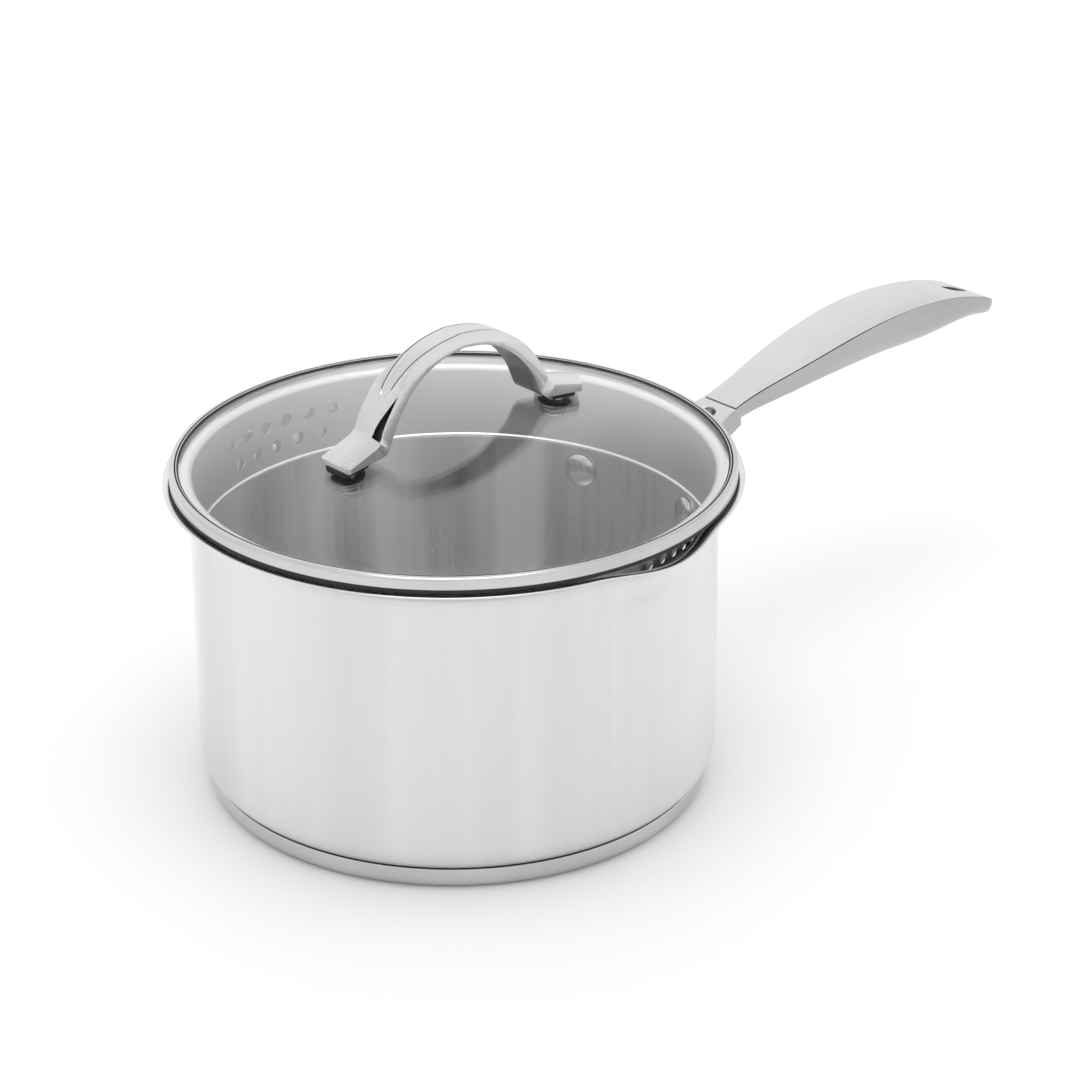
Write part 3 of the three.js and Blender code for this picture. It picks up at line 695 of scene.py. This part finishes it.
def skirt():
    inner = SKIRT_OUTER - SKIRT_WALL
    flange_top = FLANGE_BOTTOM + SKIRT_WALL
    hem = 0.75
    outline = fillet([
        (SKIRT_OUTER, FLANGE_BOTTOM, 1.6),
        (STACK_RADIUS, FLANGE_BOTTOM, 0.1),
        (STACK_RADIUS, flange_top, 0.1),
        (inner, flange_top, 2.1),
        (inner, SKIRT_BOTTOM + 2 * hem, 0.3),
        (inner - hem, SKIRT_BOTTOM + 1.6 * hem, 0.5),
        (inner - hem, SKIRT_BOTTOM, 0.7),
        (SKIRT_OUTER, SKIRT_BOTTOM, 0.6),
    ], closed=True)
    piece = lathe("strainer_skirt", outline, closed=True)
    drills = []
    for rows, radius, pitch, centre in (
        (COARSE_ROWS, COARSE_RADIUS, COARSE_PITCH, SPOUT_ANGLE),
        (FINE_ROWS, FINE_RADIUS, FINE_PITCH, SPOUT_ANGLE + math.pi),
    ):
        for height, count in rows:
            for k in range(count):
                drill = rod("drill", radius, SKIRT_OUTER - 3, SKIRT_OUTER + 3, flats=24)
                drills.append(place(drill, turned_to(centre + pitch * (k - (count - 1) / 2), height)))
    boolean(piece, merged("drills", drills))
    round_normals(piece.data)
    put(piece, "lid", "satin_steel", ["lid_strainer_skirt"], SKIRT)


# ---- Glass ----

def dome_top(radius):
    return GLASS_APEX - GLASS_DOME + math.sqrt(GLASS_DOME ** 2 - radius ** 2)


def dome_inside(radius):
    return GLASS_APEX - GLASS_DOME + math.sqrt((GLASS_DOME - GLASS_THICKNESS) ** 2 - radius ** 2)


def glass():
    inside = [(93 * k / 20, dome_inside(93 * k / 20)) for k in range(21)]
    outside = [(94 * k / 20, dome_top(94 * k / 20)) for k in range(20, -1, -1)]
    edge_top = BAND_TOP - BAND_WALL - 0.26
    edge = [(SEAL_INNER, GLASS_BOTTOM), (STACK_RADIUS, GLASS_BOTTOM), (STACK_RADIUS, edge_top)]
    outline = [*inside, *edge, *outside]
    piece = lathe("glass_dome", outline)
    drills = []
    for side in (1, -1):
        drill = rod("drill", GLASS_HOLE, -8, 8)
        drills.append(place(drill, at_foot(side)))
    boolean(piece, merged("drills", drills))
    piece.visible_shadow = False
    put(piece, "lid", "clear_glass", ["lid_glass"], GLASS)


# ---- Lid bow ----

# Pairs of points, outer and inner, down one leg of the arch from its top, in the side view.
LEG = (
    ((0, 0), (0, -4.4)),
    ((10, -1.4), (9.3, -5.9)),
    ((20, -4.9), (17.8, -9.6)),
    ((28, -11), (24.8, -15)),
    ((34, -19), (29.9, -21.2)),
    ((36.8, -23.6), (32.4, -26.2)),
    ((38.1, -26.8), (34, -29.9)),
)


FOOT_BEND = (38.8, 137.5)                # from here the outer face of a foot runs straight to its end
REAR_FOOT_TOP = 132.8                    # height of the outer face at the foot's end
FRONT_FOOT_TOP = 131.4
SOLE_HEIGHT = 2.6                        # of the inner face above the glass
TIP_START = 55.5                         # beyond this the front foot leaves the glass
TIP_THICKNESS = 2.6
FOOT_LEAST = 1.6                         # least thickness anywhere in a foot
CUT_START = 53.4                         # where the front foot's askew end starts to cut its near side
CUT_LIMIT = 1.6                          # lateral place that the cut reaches before the end


def foot_line(end, end_height):
    """Pairs of outer and inner points along a foot, from its bend to its end."""
    slope = (end_height - FOOT_BEND[1]) / (end - FOOT_BEND[0])
    pairs = [
        ((39.1, 138.3), (35.1, 134.6)),
        ((39.9, 137.35), (36.4, 133.5)),
        ((41.2, 136.8), (38.5, 132.9)),
    ]
    start = pairs[-1][0][0]
    for share in (0.3, 0.55, 0.8, 1):
        x = start + (end - start) * share
        face = FOOT_BEND[1] + slope * (x - FOOT_BEND[0])
        sole = dome_top(x) + SOLE_HEIGHT
        if x > TIP_START:
            sole = max(sole, face - TIP_THICKNESS)
        pairs.append(((x, face), (x, min(sole, face - FOOT_LEAST))))
    return pairs


SLOT_START, SLOT_END = 30.2, 38.3        # distances between which a slot opens on one side of each leg
SLOT_DEPTH = 2.4
NECK_HALF = 2.0
RIM_HALF = 6.55                          # inner face of the thin rim beside the slot


def panel_half(length):
    """Half the width inside the line that frames the blank panel, at a distance from the bow's top."""
    closing = min(max((length - 33) / 3, 0), 1)
    return (4.1 - 2.2 * (length / 36) ** 2) * math.sqrt(1 - closing ** 2) if length < 36 else 0


def face_half(x, slotted):
    """Half the width of the bow's outer face, on the side with the slot or on the other."""
    if slotted and SLOT_START < x < SLOT_END:
        return RIM_HALF - (RIM_HALF - NECK_HALF) * (x - SLOT_START) / (SLOT_END - SLOT_START)
    if slotted and x >= SLOT_END:
        return NECK_HALF + (FOOT_HALF - NECK_HALF) * smoothstep(x, SLOT_END, SLOT_END + 0.9)
    widened = 4.35 + (RIM_HALF - 4.35) * smoothstep(x, 20, 30)
    return widened + (FOOT_HALF - widened) * smoothstep(x, SLOT_END, 40.5)


def bow_half(x):
    foot = smoothstep(x, 37.6, 40.5)
    return (6.5 + 0.6 * smoothstep(x, 22, 35)) * (1 - foot) + FOOT_HALF * foot


def bow_section(x, length, depth, slotted):
    """Half of a section as (lateral, depth) points, from the middle of the outer face to the inner face."""
    face = face_half(x, slotted)
    wide = bow_half(x)
    flat_foot = smoothstep(x, 38.6, 40.2)
    framed = panel_half(length)
    groove = max(framed, 0.8)
    cut = 0.32 * min(framed / 0.8, 1)
    section = [
        (0, 0), (groove * 0.5, 0), (groove - 0.23, 0.01), (groove, 0.01 + cut), (groove + 0.23, 0.02),
        (max(face, groove + 0.24), 0.03),
    ]
    sloped = 3.3 * (1 - smoothstep(x, 16, 31))
    bevel = [(face + (wide - face) * k / 4, 0.06 + sloped * k / 4) for k in (1, 2, 3, 4)]
    deep = SLOT_DEPTH * smoothstep(x, SLOT_START, 33) * (1 - smoothstep(x, SLOT_END, SLOT_END + 0.7)) + 0.1
    slot = [
        (face + 0.02, deep), (max(RIM_HALF, face + 0.05), deep), (max(RIM_HALF, face + 0.07), 0.12),
        (wide, 0.2),
    ]
    share = smoothstep(x, SLOT_START - 0.6, SLOT_START + 0.2) * (1 - flat_foot) if slotted else 0
    side = [Vector(m) * (1 - share) + Vector(n) * share for m, n in zip(bevel, slot)]
    return [Vector(p) for p in section] + side + [Vector((wide, depth - 0.2)), Vector((wide - 0.2, depth))]


def bow():
    legs = {}
    for side, end, height in ((-1, -REAR_END, REAR_FOOT_TOP), (1, FRONT_END, FRONT_FOOT_TOP)):
        knots = [(ox, BOW_APEX + oz, ix, BOW_APEX + iz) for (ox, oz), (ix, iz) in LEG]
        knots += [(*outer, *inner) for outer, inner in foot_line(end, height)]
        legs[side] = [(side * p[0], p[1], side * p[2], p[3]) for p in table_spline(knots, 14)]
    stations = list(reversed(legs[-1]))[:-1] + legs[1]
    lengths = [0.0]
    for a, b in zip(stations, stations[1:]):
        lengths.append(lengths[-1] + math.hypot(b[0] - a[0], b[1] - a[1]))
    middle = lengths[len(legs[-1]) - 1]
    rings = []
    for (ox, oz, ix, iz), length in zip(stations, lengths):
        outer, inner = Vector((ox, 0, oz)), Vector((ix, 0, iz))
        depth = (inner - outer).length
        inward = (inner - outer) / depth
        ring = []
        for side in (1, -1):
            section = bow_section(abs(ox), abs(length - middle), depth, side * ox > 0)
            half = [outer + inward * p.y + Vector((0, side * p.x, 0)) for p in section]
            ring += half if side > 0 else reversed(half[1:])
        rings.append(clip_foot(ring, ox))
    piece = loft("bow_grip", rings, sharp=26)
    line = [Vector((p[0], p[1])) for p in stations]

    def surface(centre, normal):
        """Picks painted shade for the slots and panel line (1), a darker copy of the steel as painted shade
        on the inner side (2) or the polished rest (0).
        """
        spots = [(Vector((centre.x, centre.z)) - p).length for p in line]
        buried = min(spots)
        nearest = spots.index(buried)
        framed = panel_half(abs(lengths[nearest] - middle))
        if framed > 0.8 and buried < 0.6 and abs(abs(centre.y) - framed) < 0.2 and normal.z > 0.3:
            return 1
        x = abs(centre.x)
        # Painted shade in the slot on one side of each leg.
        if SLOT_START < x < SLOT_END + 1.2 and centre.z > 136 and centre.x * centre.y > 0:
            inside = face_half(min(x, SLOT_END), True) - 0.3 < abs(centre.y) < RIM_HALF + 0.06
            if inside and 0.4 < buried < SLOT_DEPTH + 0.35:
                return 1
        # Faces turned in towards the lid's middle take the darker copy, painted shade.
        inward = Vector((0, 0, 118)) - centre
        return 2 if x < 38 and normal.dot(inward.normalized()) > 0.75 else 0

    put(piece, "lid", "polished_steel", ["lid_bow"], BOW, PAINTED_SHADE_STEEL, BOW_PAINTED_SHADE, pick=surface)
    soften(piece, 0.16)


def table_spline(knots, steps):
    """A smooth curve through tuples of four numbers."""
    first = spline([k[:2] for k in knots], steps)
    second = spline([k[2:] for k in knots], steps)
    return [(*a, *b) for a, b in zip(first, second)]


def clip_foot(ring, x):
    """Narrows a ring at the end of a foot: cut askew on the front one, with small corners on the rear."""
    if x > 0:
        near = -FOOT_HALF + max(0, x - CUT_START) * 1.25
        near = min(near, CUT_LIMIT + max(0, x - (FRONT_END - 1.2)) * 3.2)
        far = FOOT_HALF - max(0, x - (FRONT_END - 2))
    else:
        corner = max(0, -x - (-REAR_END - 0.8))
        near, far = -FOOT_HALF + corner, FOOT_HALF - corner
    return [Vector((p.x, min(max(p.y, near), far), p.z)) for p in ring]


def soften(obj, width):
    """Rounds the hard edges of a piece."""
    modifier = obj.modifiers.new("soften", "BEVEL")
    modifier.width = width * MM
    modifier.segments = 2
    modifier.limit_method = "ANGLE"
    modifier.angle_limit = math.radians(38)
    modifier.use_clamp_overlap = True
    settle(obj, 30)


def foot_fixings():
    """The gasket, washers and screw of each foot of the bow."""
    under = -GLASS_THICKNESS - 0.3
    for side, end in ((1, "front"), (-1, "rear")):
        half, cut = GASKET_HALF, 1.6
        outline = fillet([
            (-half, -half, 0.8), (half, -half, cut), (half, half, cut), (-half, half, 0.8),
        ], closed=True)
        gasket = slab(f"foot_gasket_{end}", outline, 0.3, 2.3, 0.35)
        place(gasket, at_foot(side) @ Matrix.Rotation(0 if side > 0 else math.pi, 4, "Z"))
        put(gasket, "lid", "black_silicone", [f"lid_foot_gasket_{end}"], SILICONE)

        soft = fillet([
            (WASHER_HOLE, under - SOFT_WASHER, 0.1), (SOFT_WASHER_RADIUS, under - SOFT_WASHER, 0.5),
            (SOFT_WASHER_RADIUS, under, 0.3), (WASHER_HOLE, under, 0.1),
        ], closed=True)
        soft = lathe(f"soft_washer_{end}", soft, closed=True, flats=SMALL)
        put(place(soft, at_foot(side)), "lid", "black_silicone", [f"lid_soft_washer_{end}"], SILICONE)

        top = under - 1.7
        hard = fillet([
            (WASHER_HOLE, top - STEEL_WASHER, 0.1), (STEEL_WASHER_RADIUS, top - STEEL_WASHER, 0.2),
            (STEEL_WASHER_RADIUS, top, 0.2), (WASHER_HOLE, top, 0.1),
        ], closed=True)
        hard = lathe(f"steel_washer_{end}", hard, closed=True, flats=SMALL)
        put(place(hard, at_foot(side)), "lid", "fastener_steel", [f"lid_steel_washer_{end}"], FASTENER)

        seat = top - 1.2
        outline = fillet([
            (0, seat - SCREW_HEAD), (SCREW_HEAD_RADIUS, seat - SCREW_HEAD, 1.5),
            (SCREW_HEAD_RADIUS, seat, 0.2), (SCREW_RADIUS, seat, 0.1), (SCREW_RADIUS, SCREW_END, 0.2),
            (0, SCREW_END),
        ])
        screw = lathe(f"foot_screw_{end}", outline, flats=SMALL)
        hollow = [(0, seat - 4), (1.6, seat - 4), (1.5, seat - 1.4), (0, seat - 1.1)]
        recess = lathe("recess", hollow, flats=6)
        boolean(screw, recess)
        put(place(screw, at_foot(side)), "lid", "fastener_steel", [f"lid_screw_{end}"], FASTENER)


# ---- Handle root ----

def rivets():
    back = PAN_RADIUS - PAN_WALL - 0.1
    tail = PAN_RADIUS + 3.5
    for side, name in ((1, "left"), (-1, "right")):
        outline = [
            (0, back - RIVET_RISE - 0.05), *dome_points(RIVET_HEAD, back, -RIVET_RISE), (RIVET_SHANK, back),
            (RIVET_SHANK, tail), *reversed(dome_points(RIVET_TAIL, tail, TAIL_RISE)), (0, tail + TAIL_RISE),
        ]
        piece = lathe(f"rivet_{name}", outline, flats=SMALL)
        place(piece, turned_to(side * RIVET_ANGLE, RIVET_HEIGHT))
        put(piece, "pan", "fastener_steel", [f"handle_rivet_{name}"], FASTENER)


def dome_points(radius, base_height, rise):
    """A rivet's domed face from near its middle to its rim, as (radius, height) points."""
    points = []
    for k in range(1, 13):
        angle = k / 12 * math.pi / 2
        points.append((radius * math.sin(angle) ** 0.9, base_height + rise * math.cos(angle) ** 0.8))
    return points


def sideways(outline, half):
    """An outline in the XZ plane as a solid across Y."""
    piece = slab("side", outline, -half, half)
    return place(piece, Matrix.Rotation(math.pi / 2, 4, "X"))


FORK_START = 70                    # inside the pan, where the wall then trims the fork


def mirrored(points):
    """A line of points in the XY plane mirrored in the X axis, in reverse order."""
    return [Vector((p.x, -p.y)) for p in reversed(points)]


def fork():
    """The forked root: two arms from the rivet pads that join in the neck, and a tang into the handle."""
    neck = HANDLE_ROOT + 3
    top = handle_top
    flush = HANDLE_ROOT - 0.3
    tang = [(neck, top(neck) - 1.9), (flush, top(flush) - 1.9)]
    arm_top = [*tang, *spline([(flush, top(flush) - 0.1), (118, top(118)), (106, 95.2), (94, 93)], 6)]
    arm_under = [*spline([(96.5, 86.5), (110, 87.1), (121, 89.5), (neck, 94.2)], 6)]
    profile = [(FORK_START, 69), (96.5, 69), *arm_under, *arm_top, (FORK_START, 93)]
    side = sideways(profile, 45)
    half = [(neck, 8.0), (122, 10.2), (112, 17.5), (100, 30), (84, 38)]
    edge = spline(half, 8)
    plan = [*edge, Vector((FORK_START, 14)), Vector((FORK_START, -14)), *mirrored(edge)]
    boolean(side, slab("plan", plan, 50, 125), "INTERSECT")
    gap_end, gap_radius = 123.5, 3.6
    inner = spline([(96, 15), (108, 8.5), (gap_end, gap_radius)], 8)
    bend = arc((gap_end, 0), gap_radius, 90, -90, 12)[:-1]
    gap = [
        Vector((FORK_START, 15)), *inner, *[Vector(p) for p in bend], *mirrored(inner),
        Vector((FORK_START, -15)),
    ]
    boolean(side, slab("gap", gap, 40, 130))
    boolean(side, rod("wall", PAN_RADIUS + 0.2, 40, 130, flats=FINE))
    face = PAN_RADIUS + 3.3
    over = lathe("over", [(face, 60), (150, 60), (150, 86.5), (face, 86.5)], closed=True, flats=FINE)
    boolean(side, over)
    remesh = side.modifiers.new("remesh", "REMESH")
    remesh.mode = "VOXEL"
    remesh.voxel_size = 0.42 * MM
    relax = side.modifiers.new("relax", "SMOOTH")
    relax.factor = 0.5
    relax.iterations = 5
    thin = side.modifiers.new("thin", "DECIMATE")
    thin.ratio = 0.25
    settle(side, 60)
    side.name = "handle_root"
    # Faces turned up take the handle's top steel, the rest its darker copy as painted shade.
    put(side, "pan", "satin_steel", ["handle_fork"], HANDLE_PAINTED_SHADE, HANDLE_TOP,
        pick=lambda centre, normal: 1 if normal.z > 0.6 else 0)


# ---- Handle ----

handle_top = smooth_table([
    (118, 98.6), (134, 102.9), (170, 112.5), (206, 118.4), (236, 117.9), (262, 112.2), (279, 104.8),
])
handle_half = smooth_table([
    (118, 8.6), (140, 8), (170, 11.5), (205, 13.1), (240, 12.6), (270, 11.6), (279, 10.4),
])
handle_depth = smooth_table([
    (118, 8), (140, 9.7), (165, 13.8), (205, 18.4), (236, 18.3), (262, 10.8), (279, 6.2),
])
HANG_HOLE = (261, 12, 8)           # centre, length and width


def handle_stations():
    """Distances from the axis, closer together at both ends, with the share of width left there."""
    stations = []
    count = 90
    round_end = 10
    for k in range(count + 1):
        x = HANDLE_ROOT + (HANDLE_TIP - HANDLE_ROOT) * math.sin(k / count * math.pi / 2) ** 1.05
        beyond = max(0, x - (HANDLE_TIP - round_end)) / round_end
        stations.append((x, math.sqrt(max(0.22, 1 - beyond ** 2.2))))
    return stations


def handle_shells():
    plate_rings, belly_rings = [], []
    for x, share in handle_stations():
        top, half, depth = handle_top(x), handle_half(x) * share, handle_depth(x)
        crown = 0.8 * smoothstep(x, HANDLE_ROOT, 170) * (1 - smoothstep(x, 225, 262))
        across = [k / 12 for k in range(-12, 13)]
        plate = [(x, t * (half - 0.1), top - crown * t * t) for t in across]
        low_edge = top - crown
        right_edge = [
            (x, half, low_edge - 0.18), (x, half - 0.12, low_edge - 0.4), (x, half - 0.9, low_edge - 1.15),
        ]
        plate += [*right_edge, *[(x, -y, z) for x, y, z in reversed(right_edge)]]
        plate_rings.append(plate)
        seam = 0.46 - 0.34 * smoothstep(x, 185, 225)
        belly = []
        edge = low_edge - 0.34 - seam
        for k in range(37):
            angle = math.pi * k / 36
            c, s = math.cos(angle), math.sin(angle)
            y = half * math.copysign(abs(c) ** 0.8, c)
            belly.append((x, y, edge - 0.15 - (depth - crown - 0.49 - seam) * s ** 0.8))
        belly.insert(0, (x, half - 0.12, edge))
        belly.append((x, 0.12 - half, edge))
        belly += [(x, 0.9 - half, low_edge - 1.5), (x, half - 0.9, low_edge - 1.5)]
        belly_rings.append(belly)
    plate = loft("handle_top_shell", plate_rings, sharp=28)
    belly = loft("handle_under_shell", belly_rings, sharp=28)
    for piece, node, steel_used in (
        (plate, "handle_top_plate", HANDLE_TOP),
        (belly, "handle_belly", HANDLE_PAINTED_SHADE),
    ):
        boolean(piece, hang_hole_cutter(), sharp=28)
        put(piece, "pan", "satin_steel", [node], steel_used)


def hang_hole_cutter():
    """A slot with round ends, flared where it meets the top face."""
    centre, length, width = HANG_HOLE
    surface = handle_top(centre)
    slope = (handle_top(centre + 5) - handle_top(centre - 5)) / 10
    rings = []
    for grow, height in ((0, -30), (0, -0.55), (0.2, -0.2), (0.5, 0.0), (2.5, 2.0)):
        reach, radius = (length - width) / 2, width / 2 + grow
        ends = [((centre + reach, 0), -90), ((centre - reach, 0), 90)]
        ring = []
        for middle, start in ends:
            first = math.radians(start)
            ring.append((middle[0] + radius * math.cos(first), radius * math.sin(first)))
            ring += arc(middle, radius, start, start + 180, 14)
        rings.append([(px, py, surface + slope * (px - centre) + height) for px, py in ring])
    return loft("hang_hole", rings)


# ---- Studio ----

def camera():
    """The camera stands off the near side of the pan, between its rear and one pouring lip."""
    position = Vector((-727.5, -822.3, 600.6)) * MM
    forward = Vector((0.6183, 0.6623, -0.4232)).normalized()
    right = Vector((0.7301, -0.6833, -0.0027)).normalized()
    up = right.cross(forward).normalized()
    lens = bpy.data.cameras.new("camera")
    lens.lens = 116.66
    lens.sensor_width = 36
    lens.clip_end = 20
    obj = bpy.data.objects.new("camera", lens)
    obj.matrix_world = Matrix((
        (right.x, up.x, -forward.x, position.x),
        (right.y, up.y, -forward.y, position.y),
        (right.z, up.z, -forward.z, position.z),
        (0, 0, 0, 1),
    ))
    bpy.context.scene.collection.objects.link(obj)
    bpy.context.scene.camera = obj


def softbox(name, position, target, size, power):
    light = bpy.data.lights.new(name, "AREA")
    light.shape = "RECTANGLE"
    light.size, light.size_y = size
    light.energy = power
    obj = bpy.data.objects.new(name, light)
    aim = (Vector(target) - Vector(position)).normalized()
    obj.matrix_world = Matrix.Translation(position) @ aim.to_track_quat("-Z", "Y").to_matrix().to_4x4()
    bpy.context.scene.collection.objects.link(obj)


def studio():
    floor = slab("floor", [(-6000, -6000), (6000, -6000), (6000, 6000), (-6000, 6000)], -20, 0)
    floor.data.materials.append(pale_floor())

    world = bpy.data.worlds.new("studio")
    bpy.context.scene.world = world
    world.use_nodes = True
    tree = world.node_tree
    place_in_sky = tree.nodes.new("ShaderNodeTexCoord")
    drift = tree.nodes.new("ShaderNodeTexNoise")
    drift.inputs["Scale"].default_value = 1.6
    drift.inputs["Detail"].default_value = 0.0
    strength = tree.nodes.new("ShaderNodeMapRange")
    for key, number in (("From Min", 0.35), ("From Max", 0.65), ("To Min", 0.93), ("To Max", 1.12)):
        strength.inputs[key].default_value = number
    tree.links.new(place_in_sky.outputs["Generated"], drift.inputs["Vector"])
    tree.links.new(drift.outputs["Fac"], strength.inputs["Value"])
    tree.links.new(strength.outputs[0], tree.nodes["Background"].inputs["Strength"])
    tree.nodes["Background"].inputs["Color"].default_value = (1, 1, 1, 1)

    softbox("overhead", (-0.2, -0.2, 2.4), (0, 0, 0), (1.4, 1.4), 12)
    bpy.context.scene.view_settings.view_transform = "Standard"


camera()
studio()
pan()
base()
band()
seal()
skirt()
glass()
bow()
foot_fixings()
rivets()
fork()
handle_shells()
